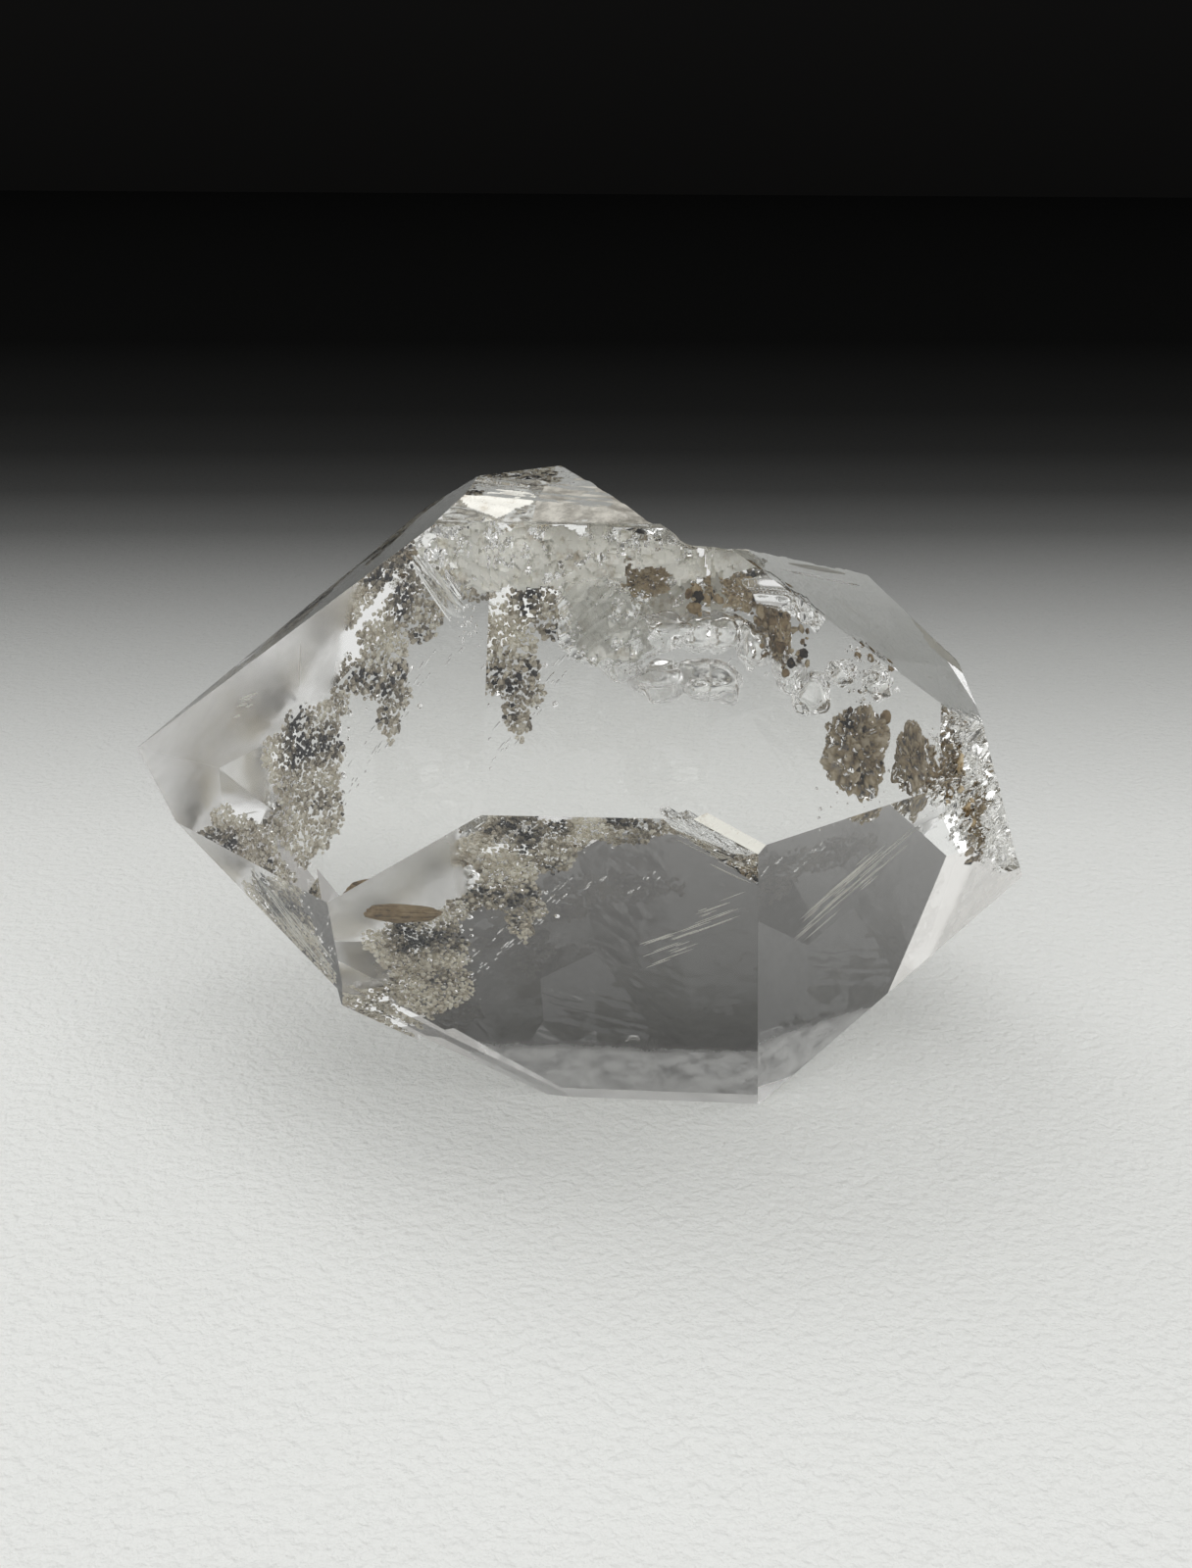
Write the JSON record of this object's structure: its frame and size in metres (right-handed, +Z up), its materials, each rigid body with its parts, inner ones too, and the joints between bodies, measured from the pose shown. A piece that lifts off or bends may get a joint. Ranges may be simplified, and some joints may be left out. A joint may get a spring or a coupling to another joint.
{
  "type": "herkimer diamond quartz",
  "caption": "Doubly terminated clear quartz crystal lying on a prism face, with grey grains, brown clay lumps and a broken end inside and out.",
  "frame": {"origin": "middle of the bounding box's footprint, on the surface that the crystal rests on", "axes": "+X along the crystal's long axis towards its broken end, -Y towards the front with the two window faces, +Z up"},
  "size_m": [0.0302, 0.024, 0.0209],
  "materials": {
    "quartz": "clear glassy natural crystal faces, broken and chipped along the crest and the right end",
    "grains": "grey gritty sediment grains on a healed crack",
    "clay": "dull brown clay"
  },
  "bodies": {
    "root": {"crystal": "quartz", "grain_veil": "grains", "large_clay_clump": "clay", "small_clay_clump": "clay", "drip_clay": "clay", "top_clay_clump": "clay", "ridge_clay": "clay", "upper_end_clay": "clay", "lower_end_clay": "clay"}
  },
  "joints": []
}
